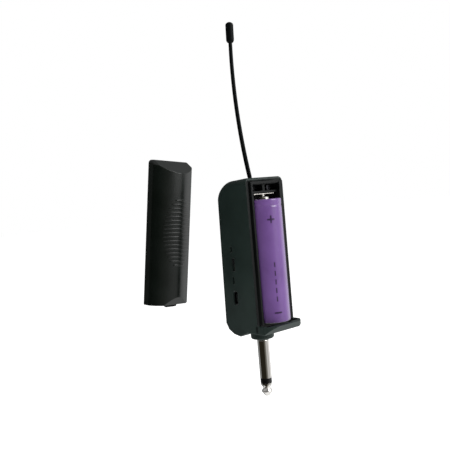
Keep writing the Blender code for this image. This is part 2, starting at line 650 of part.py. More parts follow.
def build():
    rear_case()
    battery_tray()
    cell()
    contacts()
    circuit_board()
    fasteners()
    controls()
    leads()
    plug()
    antenna()
    battery_cover()


build()
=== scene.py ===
"""Looks of the wireless guitar transmitter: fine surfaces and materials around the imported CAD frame.

Lengths are in millimetres in the CAD's own frame, and MM turns them into metres.
"""

import math

import bmesh
import bpy
from mathutils import Matrix, Vector


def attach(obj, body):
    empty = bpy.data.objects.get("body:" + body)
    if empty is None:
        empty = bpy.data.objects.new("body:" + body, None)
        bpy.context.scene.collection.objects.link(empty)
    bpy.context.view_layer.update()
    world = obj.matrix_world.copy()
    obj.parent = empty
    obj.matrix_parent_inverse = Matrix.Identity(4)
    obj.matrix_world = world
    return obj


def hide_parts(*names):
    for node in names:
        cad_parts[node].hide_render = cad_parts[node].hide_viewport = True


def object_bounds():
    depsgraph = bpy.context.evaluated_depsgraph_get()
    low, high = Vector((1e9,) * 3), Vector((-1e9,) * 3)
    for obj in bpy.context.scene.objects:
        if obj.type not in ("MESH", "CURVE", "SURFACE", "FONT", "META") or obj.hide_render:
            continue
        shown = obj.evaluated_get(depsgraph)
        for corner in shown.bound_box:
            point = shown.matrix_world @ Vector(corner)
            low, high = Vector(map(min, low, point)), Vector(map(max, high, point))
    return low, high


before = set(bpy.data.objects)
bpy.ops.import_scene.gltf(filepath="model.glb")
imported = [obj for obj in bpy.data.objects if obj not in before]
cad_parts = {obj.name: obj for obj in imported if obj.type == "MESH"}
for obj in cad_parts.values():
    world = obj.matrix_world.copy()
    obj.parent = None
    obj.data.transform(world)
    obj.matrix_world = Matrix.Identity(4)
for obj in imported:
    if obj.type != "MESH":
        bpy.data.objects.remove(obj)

MM = 0.001
GAP = 0.3                       # clearance between neighbouring pieces
CAD_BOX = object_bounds()

# camera: where it stands, where it looks, how far it is rolled, and its focal length
CAMERA_AT = (-246.5, -262.9, 81.0)
CAMERA_AZIMUTH = 40.73
CAMERA_DOWN = 2.64
CAMERA_ROLL = 4.92
CAMERA_LENS = 53.1

# studio: softboxes as (degrees from the camera's azimuth, elevation, distance, size, radiance)
SOFTBOXES = {"key": (112, 24, 0.8, (0.5, 0.6), 5.0), "overhead": (180, 80, 0.8, (0.7, 0.7), 0.4)}
# parts of the room darker than white: degrees from the camera's azimuth, outer and inner reach, colour
GREY_WALLS = [(160, 50, 12, (0.090, 0.085, 0.065)), (-28, 76, 46, (0.24, 0.25, 0.25)),
              (99, 32, 10, (0.40, 0.40, 0.39))]
DARK_WALL = (222.5, 59, 53, (0.020, 0.018, 0.012))
CEILING_GREY, FLOOR_GLOW = 0.22, 0.75
AIM = Vector((-0.01, 0.0, 0.05))        # where the softboxes point, in metres

# housing
WIDTH = 27.2
RIM_Y = -11.3                   # the plane on which the cover closes
BACK_TOP, BACK_FOOT = (12.3, 77.1), (14.0, 10.6)    # (y, z) ends of the straight back
BASE_Z = 6.4
HEEL = ((-2.8, 6.4), (-1.8, 5.8), (3.2, 4.0), (8.0, 4.9), (11.9, 7.1))
HEEL_CORNER = 1.2
TOP_Z, TOP_FRONT_RISE, TOP_REAR_ROUND = 87.7, 1.1, 12.0
RIM_ROUND = 1.3                 # the broad rounding of the top's front edge
TOP_CORNER = 2.2                # rounding where the top meets the two sides, fading out below FADE_Z
FADE_Z = (78.0, 86.0)
WALL, CASE_ROUND, EDGE_ROUND = 1.7, 0.8, 0.18
HOLLOW_FLOOR_Z, HOLLOW_HEEL_Y = 8.4, 7.0
BOSS_RADIUS, BOSS_Z, BOSS_FLARE, BOSS_ROUND, BOSS_TOP_Z = 6.35, 1.1, 0.9, 1.0, 8.2
COLLAR_RADIUS, COLLAR_EDGE = 3.45, 0.15
SHELF_TOP_Z, SHELF_INSET, SHELF_SLOPE, SHELF_EDGE_Y = 10.9, 0.5, 52.0, -21.3
TAB_SLOT = ((-4.35, 4.35), (-18.8, -16.8), (9.3, 20))
ANTENNA_HOLE_RADIUS = 1.55
SCREW_X, SCREW_Z = 6.5, 82.8
POST_RADIUS, PILOT_RADIUS = 2.2, 1.1
# posts as (x, z, front y, rear y, rear y of the pilot hole): two for the board, two for the tray
POSTS = [(7.5, 74.0, 3.3, 11.5, 9.5), (-7.5, 17.0, 3.3, 12.9, 9.5),
         (-SCREW_X, SCREW_Z, 1.5, 7.8, 7.3), (SCREW_X, SCREW_Z, 1.5, 7.8, 7.3)]

# cell
CELL_RADIUS, CELL_Y, CELL_Z, CELL_TOP = 9.2, -9.7, 11.75, 76.75
WRAP_WALL, WRAP_FOOT_RADIUS, WRAP_MOUTH_RADIUS = 0.25, 7.0, 7.5
CRIMP = ((0.0, 2.9), (0.12, 3.2), (0.22, 3.6), (0.12, 4.0), (0.0, 4.3))    # (depth, distance below the top)
NUB_RADIUS, NUB_HEIGHT, NUB_FLAT, NUB_ROUND = 2.9, 1.2, 1.9, 0.6
RING_RADIUS, RING_FOOT = 7.2, 0.65
MARK_ANGLE = 244.3              # degrees round the cell, from +X
PLUS_Z, PLUS_REACH, PLUS_HALF_STROKE = 66.0, 2.0, 0.45
MINUS_Z = (16.6, 17.5)
DASH_HALF_WIDTH, DASH_LENGTH, DASHES = 0.35, 2.6, (23.0, 27.5, 32.0, 36.5, 41.0)

# tray
TRAY_HALF_WIDTH, TRAY_BACK_Y, TRAY_Z, TRAY_FLOOR_Z = 11.0, 1.2, (9.6, 85.7), 11.2
LIP_Y, POCKET_HALF_WIDTH, END_BLOCK_Z, END_BLOCK_Y = -12.5, 9.65, 80.0, -10.4
KEY_POCKET = (0.9, 9.9, -6.0, 81.2, 84.5)       # nearest and furthest |x|, floor y, lowest and highest z
LINTEL_Z = (84.9, 86.4)
SPRING_Y, SPRING_POCKET_RADIUS, SPRING_POCKET_Z = -8.0, 2.7, 9.9
LEAD_HOLE_RADIUS, SCREW_HOLE_RADIUS, PLUG_NUT_ROOM, ANTENNA_SOCKET_ROOM = 0.8, 1.1, 4.7, 3.4
TAIL_SLOT = ((-1.5, 1.5), (-4, 3), (79.1, 80.1))

# controls
SWITCH_SLOT = (2.6, 4.8, 39.4, 46.6)            # lowest and highest y, lowest and highest z
KNOB_LENGTH, KNOB_INNER_X, KNOB_RIDGES, KNOB_PITCH = 3.5, -11.2, 4, 0.75
KNOB_VALLEY, KNOB_FACE, KNOB_GROOVE = 0.4, 0.65, 0.7    # how deep each lies below the housing's side
WINDOW_Y = (3.8, 5.2)
WINDOWS = {"upper": (49.8, 52.7), "lower": (32.4, 36.4)}
LENS_CROWN = ((1.2, 1.0), (1.05, 0.93), (0.95, 0.75), (0.9, 0.4))     # (depth, share of the outline)
LENS_INNER_X = -10.8
PORT = (2.3, 5.7, 21.2, 28.8)
PORT_INNER_X, PORT_WALL = -7.2, 0.32
TONGUE_HALF_THICKNESS, TONGUE_Z = 0.3, (23.0, 27.0)

# plug: radii and heights, and the tip's outline as (radius, height above its end)
PLUG_RADIUS, PLUG_BORE, SHANK_RADIUS, SHANK_TOP = 3.175, 2.0, 2.6, 9.9
SLEEVE_END, RING_END, PLUG_TIP_Z = -21.0, -23.7, -31.0
BAND_BORE, ROD_RADIUS, ROD_TOP = 1.2, 0.9, 10.4
TIP_OUTLINE = ((1.95, 4.7), (1.88, 4.5), (1.95, 4.3), (2.75, 3.3), (2.93, 3.0), (2.95, 2.75), (2.85, 2.4),
               (1.45, 0.6), (1.1, 0.28), (0.7, 0.1), (0.35, 0.02), (0, 0))

# antenna
ANTENNA_Y, ANTENNA_LENGTH, WHIP_LEAN, WHIP_UPRIGHT_AT = -0.6, 72.1, 6.4, 0.82
WHIP_RADIUS, WHIP_TAPER = 1.2, 0.2
WHIP_OVERRUN = 1.012            # the rod ends inside the tip cap
CAP_RADIUS, CAP_LENGTH, CAP_CROWN = 2.1, 10.9, 1.6

# battery cover, in its closed place, and the move that lays it aside
COVER_Z, COVER_WALL, COVER_REAR_Y, COVER_CORNER = (11.2, 88.2), 1.5, -11.6, 2.0
CREST_Y, SHOULDER_Y = -24.0, -15.2
CREST_POWER, SHOULDER_POWER = 1.5, 1.7    # how pointed the arch is at its crest, how square at its sides
CREST_ROUND = 0.10              # share of the half width over which the crest is rounded
TOP_APEX_Z, BOTTOM_APEX_Z, COVER_HEAD_Y, COVER_FOOT_Y = 81.4, 15.8, -13.8, -21.3
TAB = ((-4.0, 4.0), (-18.5, -17.1), (9.6, 11.4))
TAB_CORNER = 1.0
TAB_ROOT = [(-20.9, 11.25), (-17.1, 11.25), (-17.1, 11.55), (-19.15, 11.55), (-19.15, 12.3), (-19.5, 12.6),
            (-20.9, 12.6)]      # (y, z)
GRIP_MIDDLE_Z, GRIP_HALF_WIDTH, GRIP_HALF_HEIGHT = 50.0, 9.8, 18.8
RIB_PITCH, RIB_HEIGHT, RIB_HALF_THICKNESS, RIB_SINK, RIBS_EACH_WAY = 2.15, 0.40, 0.62, 0.35, 8
INNER_RIB_Z, INNER_RIB_HALF, INNER_RIB_DEPTH = (20, 34, 48, 62, 76), 0.5, 0.9
CATCH_POST = ((0, 2.9), (1.25, 2.9), (1.05, 2.3), (1.0, 1.3), (0, 1.3))   # (radius, height over the bead)
BEAD_CENTRE, BEAD_ASIDE = Vector((0.0, -13.9, 84.0)), Vector((-32.3, 27.0, 97.2))
COVER_LEAN, LEAN_AXIS = 9.8, Vector((0.509, 0.529, 0.678))


# ---------------------------------------------------------------- materials

def node(tree, kind, settings=None, **inputs):
    """A shader node; an input is a number, a colour or another node's output socket."""
    made = tree.nodes.new(kind)
    for key, value in (settings or {}).items():
        setattr(made, key, value)
    for key, value in inputs.items():
        socket = made.inputs[key.replace("_", " ")]
        if isinstance(value, bpy.types.NodeSocket):
            tree.links.new(value, socket)
        else:
            socket.default_value = value
    return made


def ramp(tree, value, low, high, to_low, to_high):
    return node(tree, "ShaderNodeMapRange", Value=value, From_Min=low, From_Max=high,
                To_Min=to_low, To_Max=to_high).outputs["Result"]


def noise(tree, where, pitch, detail):
    """A noise texture whose blotches are about pitch millimetres wide."""
    made = node(tree, "ShaderNodeTexNoise", Vector=where, Scale=1 / (pitch * MM), Detail=detail)
    return made.outputs["Fac"]


def mixed(tree, share, first, second):
    return node(tree, "ShaderNodeMixRGB", Fac=share, Color1=first, Color2=second).outputs["Color"]


def finish(name, colour, roughness, grain=0.5, depth=0.01, mottle=0.2, blotch=9.0, gloss_spread=0.06,
           wear=0.0, stretch=(1, 1, 1), **sockets):
    """A procedural finish. grain and depth are the fine relief's pitch and height in millimetres,
    mottle is how far the colour wanders over blotches of that size, and wear lightens the edges."""
    mat = bpy.data.materials.new(name)
    mat.use_nodes = True
    tree = mat.node_tree
    shader = tree.nodes["Principled BSDF"]
    for key, value in sockets.items():
        shader.inputs[key.replace("_", " ")].default_value = value
    where = tree.nodes.new("ShaderNodeTexCoord").outputs["Object"]
    stretched = node(tree, "ShaderNodeMapping", Vector=where, Scale=stretch).outputs["Vector"]
    broad, fine = noise(tree, where, blotch, 4.0), noise(tree, stretched, grain, 3.0)
    dark = (*[c * (1 - mottle) for c in colour], 1.0)
    light = (*[min(1.0, c * (1 + mottle)) for c in colour], 1.0)
    tint = mixed(tree, ramp(tree, broad, 0.3, 0.7, 0.0, 1.0), dark, light)
    tint = mixed(tree, ramp(tree, fine, 0.35, 0.65, 0.0, 0.35), tint, light)
    if wear:
        edge = tree.nodes.new("ShaderNodeNewGeometry").outputs["Pointiness"]
        worn = (*[min(1.0, c * 2.2 + 0.01) for c in colour], 1.0)
        tint = mixed(tree, ramp(tree, edge, 0.53, 0.62, 0.0, wear), tint, worn)
    tree.links.new(tint, shader.inputs["Base Color"])
    gloss = ramp(tree, broad, 0.3, 0.7, roughness - gloss_spread / 2, roughness + gloss_spread / 2)
    tree.links.new(gloss, shader.inputs["Roughness"])
    bump = node(tree, "ShaderNodeBump", Height=fine, Strength=1.0, Distance=depth * MM)
    tree.links.new(bump.outputs["Normal"], shader.inputs["Normal"])
    return mat


CASE = finish("satin_charcoal", (0.0132, 0.0240, 0.0206), 0.45, grain=0.35, depth=0.006, wear=0.15,
              Specular_IOR_Level=0.32)
# painted shade: the cover's charcoal is the housing's charcoal made several times darker, standing in for
# the dimmer light on the cover
SHADED_COVER_CHARCOAL = finish("cover_charcoal_darkened_as_shade", (0.0022, 0.0040, 0.0030), 0.32, grain=0.35, depth=0.004, wear=0.15,
               Specular_IOR_Level=0.40)
TRAY = finish("satin_black", (0.0030, 0.0038, 0.0038), 0.50, grain=0.5, depth=0.006, wear=0.1,
              Specular_IOR_Level=0.18)
GLOSS = finish("gloss_black", (0.004, 0.004, 0.0045), 0.16, grain=1.5, depth=0.002)
RUBBER = finish("antenna_rubber", (0.002, 0.003, 0.003), 0.50, grain=0.25, depth=0.008,
                Specular_IOR_Level=0.08)
WRAP = finish("purple_shrink_wrap", (0.150, 0.073, 0.252), 0.20, grain=7.0, depth=0.05, mottle=0.10,
              blotch=14.0, Coat_Weight=0.60, Coat_Roughness=0.08)
PRINT = finish("wrap_print", (0.030, 0.012, 0.055), 0.30, grain=0.3, depth=0.003, mottle=0.3, blotch=1.5)
NICKEL = finish("nickel", (0.62, 0.60, 0.56), 0.24, grain=0.2, depth=0.001, mottle=0.08,
                stretch=(1, 1, 0.1), Metallic=1.0)
CAN = finish("nickel_can", (0.60, 0.58, 0.54), 0.30, grain=0.3, depth=0.002, mottle=0.12, Metallic=1.0)
CHROME = finish("plug_nickel", (0.80, 0.78, 0.75), 0.07, grain=0.3, depth=0.0004, mottle=0.05,
                gloss_spread=0.04, stretch=(0.15, 0.15, 1), Metallic=1.0)
# painted shade: this dark nickel colour stands for the shade inside the recessed charging socket; the tray
# screws wear it as black steel
BLACK_STEEL_AND_SHADE = finish("black_nickel_and_socket_shade", (0.045, 0.045, 0.050), 0.32, grain=0.2, depth=0.001, Metallic=1.0)
FIBRE = finish("white_fibre", (0.78, 0.76, 0.70), 0.70, grain=0.15, depth=0.01, mottle=0.08, blotch=2.0)
MASK = finish("board_green", (0.010, 0.120, 0.045), 0.35, grain=1.2, depth=0.01, mottle=0.25, blotch=3.0)
EPOXY = finish("chip_black", (0.015, 0.015, 0.016), 0.50, grain=0.1, depth=0.004)
RED = finish("wire_red", (0.48, 0.02, 0.02), 0.42, grain=0.4, depth=0.004)
BLACK = finish("wire_black", (0.010, 0.010, 0.010), 0.42, grain=0.4, depth=0.004)
LENS = finish("smoked_lens", (0.012, 0.013, 0.014), 0.12, grain=0.8, depth=0.001)
LED = finish("led_white", (0.68, 0.70, 0.64), 0.22, grain=0.5, depth=0.002, mottle=0.08, blotch=1.0)


# ---------------------------------------------------------------- meshes

def loft(name, rings, cyclic=True, caps=True, joined=False):
    """Faces between rings of points. joined also links the last ring to the first."""
    bm = bmesh.new()
    rows = [[bm.verts.new(Vector(p) * MM) for p in ring] for ring in rings]
    count = len(rows[0])
    for a, b in zip(rows, rows[1:] + ([rows[0]] if joined else [])):
        for i in range(count if cyclic else count - 1):
            j = (i + 1) % count
            bm.faces.new((a[i], a[j], b[j], b[i]))
    if caps and not joined:
        bm.faces.new(rows[0])
        bm.faces.new(rows[-1])
    bmesh.ops.remove_doubles(bm, verts=bm.verts, dist=1e-7)
    bmesh.ops.recalc_face_normals(bm, faces=bm.faces)
    mesh = bpy.data.meshes.new(name)
    bm.to_mesh(mesh)
    bm.free()
    return mesh


def together(name, meshes):
    """One mesh from several."""
    bm = bmesh.new()
    for mesh in meshes:
        bm.from_mesh(mesh)
        bpy.data.meshes.remove(mesh)
    mesh = bpy.data.meshes.new(name)
    bm.to_mesh(mesh)
    bm.free()
    return mesh


def disc(radius, centre, steps=48):
    angles = [math.tau * i / steps for i in range(steps)]
    return [(centre[0] + radius * math.cos(a), centre[1] + radius * math.sin(a)) for a in angles]


def turned(name, profile, centre=(0.0, 0.0), steps=96):
    """A solid of revolution about an upright axis; profile holds (radius, z) from top to bottom."""
    rings = [[(x, y, z) for x, y in disc(radius, centre, steps)] for radius, z in profile]
    return loft(name, rings, caps=False, joined=profile[0][0] > 0)


def rectangle(us, vs):
    return [(us[0], vs[0]), (us[1], vs[0]), (us[1], vs[1]), (us[0], vs[1])]


def prism(name, points, span, axis):
    """A flat outline along an axis: (y, z) points along x, (x, z) points along y, (x, y) along z."""
    order = {"x": lambda a, u, v: (a, u, v), "y": lambda a, u, v: (u, a, v), "z": lambda a, u, v: (u, v, a)}
    return loft(name, [[order[axis](a, u, v) for u, v in points] for a in span])


def block(name, xs, ys, zs):
    return prism(name, rectangle(xs, ys), zs, "z")


def arc(centre, radii, start, end, steps):
    """Points on an ellipse between two angles in degrees."""
    angles = [math.radians(start + (end - start) * i / steps) for i in range(steps + 1)]
    return [(centre[0] + radii[0] * math.cos(a), centre[1] + radii[1] * math.sin(a)) for a in angles]


def round_corners(points, radius, steps=6, closed=True):
    """An outline whose corners are curved over about radius, with the same count for each."""
    knots = [Vector(p) for p in points]
    if closed:
        trios = [(knots[i - 1], knots[i], knots[(i + 1) % len(knots)]) for i in range(len(knots))]
    else:
        trios = list(zip(knots, knots[1:], knots[2:]))
    result = [] if closed else [knots[0]]
    for before, corner, after in trios:
        back, on = before - corner, after - corner
        if min(back.length, on.length) < 1e-6:
            result += [corner] * (steps + 1)
            continue
        turn = math.pi - back.angle(on)
        reach = min(radius * math.tan(min(turn, 2.6) / 2), 0.48 * back.length, 0.48 * on.length)
        start, end = corner + back.normalized() * reach, corner + on.normalized() * reach
        for i in range(steps + 1):
            t = i / steps
            result.append(start * (1 - t) ** 2 + corner * (2 * t * (1 - t)) + end * t ** 2)
    return [tuple(p) for p in (result if closed else result + [knots[-1]])]


def baked(holder):
    """The mesh of an object with its modifiers applied; the object and its old mesh go."""
    graph = bpy.context.evaluated_depsgraph_get()
    mesh = bpy.data.meshes.new_from_object(holder.evaluated_get(graph), depsgraph=graph)
    old = holder.data
    bpy.data.objects.remove(holder)
    bpy.data.meshes.remove(old)
    return mesh


def place(name, mesh):
    obj = bpy.data.objects.new(name, mesh)
    bpy.context.scene.collection.objects.link(obj)
    return obj


def combine(name, base, joins=(), cuts=(), late_joins=(), late_cuts=()):
    """The base mesh with others joined to it and cut from it, in that order."""
    holder = place(name, base)
    tools = []
    for operation, meshes in (("UNION", joins), ("DIFFERENCE", cuts), ("UNION", late_joins),
                              ("DIFFERENCE", late_cuts)):
        for mesh in meshes:
            tools.append(place(mesh.name, mesh))
            modifier = holder.modifiers.new(mesh.name, "BOOLEAN")
            modifier.operation = operation
            modifier.solver = "EXACT"
            modifier.object = tools[-1]
    mesh = baked(holder)
    for tool in tools:
        bpy.data.objects.remove(tool)
    mesh.name = name
    return mesh


def soften(obj, width):
    bevel = obj.modifiers.new("edges", "BEVEL")
    bevel.width = width * MM
    bevel.segments = 3
    bevel.limit_method = "ANGLE"
    bevel.angle_limit = math.radians(40.0)
    bevel.use_clamp_overlap = False
    bevel.miter_outer = "MITER_ARC"


def piece(mesh, mat, body, nodes=(), edge=0.0, sharp=35.0):
    """A visible piece that rides on a body and stands for CAD nodes; edge rounds its sharp edges."""
    obj = place(mesh.name, mesh)
    mesh.materials.clear()
    mesh.materials.append(mat)
    for polygon in mesh.polygons:
        polygon.material_index = 0
    mesh.shade_smooth()
    mesh.set_sharp_from_angle(angle=math.radians(sharp))
    if edge:
        soften(obj, edge)
    weighted = obj.modifiers.new("normals", "WEIGHTED_NORMAL")
    weighted.keep_sharp = True
    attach(obj, body)
    if nodes:
        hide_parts(*nodes)
    return obj


def rounded_for_good(mesh, width):
    """The mesh with its sharp edges rounded, and none of its corners past the housing's two sides."""
    name, half = mesh.name, WIDTH / 2 * MM
    holder = place("rounding", mesh)
    soften(holder, width)
    result = baked(holder)
    result.name = name
    for vertex in result.vertices:      # where roundings meet, the bevel may reach too far
        vertex.co.x = max(-half, min(half, vertex.co.x))
    return result


def laid_aside(mesh):
    """The mesh of a cover piece, moved from its closed place to where the cover lies."""
    turn = Matrix.Rotation(math.radians(COVER_LEAN), 4, LEAN_AXIS)
    mesh.transform(Matrix.Translation(BEAD_ASIDE * MM) @ turn @ Matrix.Translation(-BEAD_CENTRE * MM))
    return mesh


# ---------------------------------------------------------------- housing

def arch_depth(share):
    """How far the arch has risen, 0 to 1, at a share of its half width."""
    share = math.hypot(share, CREST_ROUND) / math.hypot(1.0, CREST_ROUND)
    return max(0.0, 1 - share ** CREST_POWER) ** (1 / SHOULDER_POWER)


def arch_point(angle, inset=0.0):
    """(x, y) on the arch that the cover and the shelf share; 90 degrees is its crest."""
    half, depth = WIDTH / 2 - inset, SHOULDER_Y - CREST_Y - inset
    share = max(0.0, math.cos(math.radians(angle))) ** (2 / CREST_POWER)
    return half * share, SHOULDER_Y - depth * arch_depth(share)


def case_line(steps=18):
    """The housing's outline seen from the side, open at the rim, as (y, z) points."""
    heel = round_corners([(RIM_Y, BASE_Z), *HEEL, BACK_FOOT, BACK_TOP], HEEL_CORNER, closed=False)[:-1]
    centre_y = BACK_TOP[0] - TOP_REAR_ROUND
    rear = arc((centre_y, BACK_TOP[1]), (TOP_REAR_ROUND, TOP_Z - BACK_TOP[1]), 0, 90, steps)
    slope = TOP_FRONT_RISE / (centre_y - RIM_Y + 6.0)
    front = []
    for i in range(9):
        y = RIM_Y + RIM_ROUND * (1 - math.sin(math.radians(90 * i / 8)))
        front.append((y, TOP_Z + slope * (centre_y - y)))
    return heel + rear + front


def moved_in(points, inset):
    """An open (y, z) line moved inwards; its two ends stay on the rim's plane."""
    knots = [Vector(p) for p in points]
    normals = [Vector((-(b - a).y, (b - a).x)).normalized() for a, b in zip(knots, knots[1:])]
    result = []
    for i, knot in enumerate(knots):
        before, after = normals[max(i - 1, 0)], normals[min(i, len(normals) - 1)]
        middle = (before + after).normalized()
        moved = knot + middle * (inset / max(0.5, middle.dot(after)))
        result.append([moved.x, moved.y])
    result[0][0] = result[-1][0] = RIM_Y
    for point in result:
        point[0] = max(point[0], RIM_Y)
    return result


def fall(beyond, radius):
    """How far a rounding of that radius has fallen at a distance beyond its start."""
    return radius - math.sqrt(max(0.0, radius ** 2 - max(0.0, beyond) ** 2))


def case_rings(steps=10):
    """The housing's solid form: side outlines that step inwards towards its two faces."""
    line = case_line()
    half = WIDTH / 2
    flat = half - TOP_CORNER
    columns = [(flat + (TOP_CORNER - CASE_ROUND) * i / steps, 0.0) for i in range(steps)]
    for i in range(steps + 1):
        turn = math.radians(90 * (1 - i / steps))
        columns.append((half - CASE_ROUND * (1 - math.cos(turn)), CASE_ROUND * (1 - math.sin(turn))))
    rings = []
    for side, order in ((-1, columns[::-1]), (1, columns)):
        for x, inset in order:
            corner = fall(x - flat, TOP_CORNER)
            points = []
            for y, z in moved_in(line, inset):
                drop = corner * min(1.0, max(0.0, (z - FADE_Z[0]) / (FADE_Z[1] - FADE_Z[0])))
                if z > FADE_Z[1] - 3:
                    drop += fall(RIM_Y + RIM_ROUND - y, RIM_ROUND)
                points.append((side * x, y, z - drop))
            rings.append(points)
    return rings


def shelf_rings(steps=10):
    """The shelf below the cover: plan outlines whose lower edge is rounded like the housing's."""
    rings = []
    levels = [90 * i / steps for i in range(steps + 1)]
    for turn in levels[::-1] + [None]:
        inset = 0.0 if turn is None else CASE_ROUND * (1 - math.cos(math.radians(turn)))
        z = SHELF_TOP_Z if turn is None else BASE_Z + CASE_ROUND * (1 - math.sin(math.radians(turn)))
        wide = WIDTH / 2 - inset
        side = [(wide, RIM_Y + 1.2), (wide, RIM_Y - 0.4)]
        side += [arch_point(90 * i / 36, SHELF_INSET * math.sin(math.radians(90 * i / 36)) + inset)
                 for i in range(37)]
        plan = side + [(-x, y) for x, y in side[-2::-1]]
        rings.append([(x, y, z) for x, y in plan])
    return rings


def half_space(name, point, lean):
    """A block in front of a plane through (y, z) point that leans back below it by lean degrees."""
    reach = 60.0
    along = Vector((math.sin(math.radians(lean)), -math.cos(math.radians(lean))))
    start = Vector(point)
    low, high = start + along * reach, start - along * reach
    out = Vector((along.y, -along.x)) * reach
    return prism(name, [tuple(p) for p in (low, high, high + out, low + out)], (-40, 40), "x")


def boss():
    """The round boss under the housing, flared where it meets the base, and the collar on its face."""
    flare = [(BOSS_RADIUS + BOSS_FLARE * (1 - math.sin(math.radians(a))),
              BASE_Z + 0.1 - BOSS_FLARE * (1 - math.cos(math.radians(a)))) for a in range(0, 91, 15)]
    profile = [(0, BOSS_TOP_Z), (BOSS_RADIUS + BOSS_FLARE, BOSS_TOP_Z)] + flare
    profile += arc((BOSS_RADIUS - BOSS_ROUND, BOSS_Z + BOSS_ROUND), (BOSS_ROUND, BOSS_ROUND), 0, -90, 8)
    profile += [(COLLAR_RADIUS + COLLAR_EDGE, BOSS_Z), (COLLAR_RADIUS, BOSS_Z - COLLAR_EDGE),
                (COLLAR_RADIUS, GAP + COLLAR_EDGE), (COLLAR_RADIUS - COLLAR_EDGE, GAP), (0, GAP)]
    return turned("boss_form", profile)


def cavity():
    """The hollow inside the housing, which runs out through the rim."""
    points = [(RIM_Y - 6, HOLLOW_FLOOR_Z), (HOLLOW_HEEL_Y, HOLLOW_FLOOR_Z),
              (BACK_FOOT[0] - WALL, BACK_FOOT[1] + WALL)]
    points += arc((BACK_TOP[0] - TOP_REAR_ROUND, BACK_TOP[1]),
                  (TOP_REAR_ROUND - WALL, TOP_Z - WALL - BACK_TOP[1]), 0, 90, 16)
    points += [(RIM_Y - 6, TOP_Z + TOP_FRONT_RISE - WALL)]
    return prism("cavity", points, (-WIDTH / 2 + WALL, WIDTH / 2 - WALL), "x")


def case_holes():
    """Cuts through the housing for the lights, the switch, the socket, the plug, the antenna and the tab."""
    left_wall = (-20.0, -WIDTH / 2 + WALL + 0.5)
    holes = [prism(f"window_{n}", round_corners(rectangle(WINDOW_Y, zs), 0.3), left_wall, "x")
             for n, zs in WINDOWS.items()]
    switch = round_corners(rectangle(SWITCH_SLOT[:2], SWITCH_SLOT[2:]), 0.35)
    port = round_corners(rectangle(PORT[:2], PORT[2:]), 1.55, steps=10)
    return holes + [
        prism("switch_hole", switch, left_wall, "x"),
        prism("port_hole", port, left_wall, "x"),
        prism("plug_hole", disc(SHANK_RADIUS + GAP, (0, 0)), (-5, 12), "z"),
        prism("antenna_hole", disc(ANTENNA_HOLE_RADIUS, (0, ANTENNA_Y)), (80, 95), "z"),
        block("tab_hole", *TAB_SLOT),
    ]


def housing():
    shelf = combine("shelf_form", loft("shelf_solid", shelf_rings()),
                    cuts=[half_space("shelf_facet", (SHELF_EDGE_Y, SHELF_TOP_Z), SHELF_SLOPE)])
    posts = [prism(f"post_{i}", disc(POST_RADIUS, (x, z)), (front, rear), "y")
             for i, (x, z, front, rear, _) in enumerate(POSTS)]
    pilots = [prism(f"pilot_{i}", disc(PILOT_RADIUS, (x, z)), (0, end), "y")
              for i, (x, z, _, _, end) in enumerate(POSTS)]
    shell = combine("housing_shell", loft("case_form", case_rings()), [shelf, boss()], [cavity()], posts,
                    pilots + case_holes())
    shell = rounded_for_good(shell, EDGE_ROUND)
    shell = piece(shell, CASE, "housing", ["rear_case"])
    shell.data.materials.append(TRAY)
    for polygon in shell.data.polygons:     # painted shade: the rim that the cover closes on gets the tray's darker, duller black to keep the key light's highlight off it
        if polygon.normal.y < -0.98 and abs(polygon.center.y / MM - RIM_Y) < 0.05:
            polygon.material_index = 1
    shell.visible_glossy = False        # the cover beside it would mirror it as a black stripe


def tray():
    half, inner = TRAY_HALF_WIDTH, POCKET_HALF_WIDTH
    near, far, floor_y, low, high = KEY_POCKET
    cuts = [
        prism("cell_pocket", disc(inner, (0, CELL_Y), 96), (TRAY_FLOOR_Z, END_BLOCK_Z), "z"),
        block("way_in", (-inner, inner), (-30, CELL_Y), (TRAY_FLOOR_Z, END_BLOCK_Z)),
        block("end_block_front", (-inner, inner), (-30, END_BLOCK_Y), (END_BLOCK_Z - 1, 100)),
        block("shelf_clearance", (-30, 30), (-30, RIM_Y + GAP), (0, TRAY_FLOOR_Z)),
        prism("antenna_clearance", disc(ANTENNA_SOCKET_ROOM, (0, ANTENNA_Y)), (END_BLOCK_Z + 1.2, 100), "z"),
        prism("plug_clearance", disc(PLUG_NUT_ROOM, (0, 0)), (5, TRAY_FLOOR_Z + 0.5), "z"),
        prism("spring_pocket", disc(SPRING_POCKET_RADIUS, (0, SPRING_Y)), (SPRING_POCKET_Z, 15), "z"),
        prism("lead_hole", disc(LEAD_HOLE_RADIUS, (0, SPRING_Y)), (5, 11), "z"),
        block("tail_slot", *TAIL_SLOT),
    ]
    for side in (-1, 1):
        pocket = round_corners(rectangle(sorted((side * near, side * far)), (low, high)), 0.5)
        cuts.append(prism(f"key_pocket_{side}", pocket, (-30, floor_y), "y"))
        screw = disc(SCREW_HOLE_RADIUS, (side * SCREW_X, SCREW_Z))
        cuts.append(prism(f"screw_hole_{side}", screw, (-8, 4), "y"))
    body = block("tray_form", (-half, half), (LIP_Y, TRAY_BACK_Y), TRAY_Z)
    lintel = block("lintel", (-half, half), (LIP_Y + 0.4, END_BLOCK_Y + 0.5), LINTEL_Z)
    piece(combine("battery_bay", body, cuts=cuts, late_joins=[lintel]), TRAY, "housing",
          ["battery_tray"], edge=0.15)


# ---------------------------------------------------------------- cell

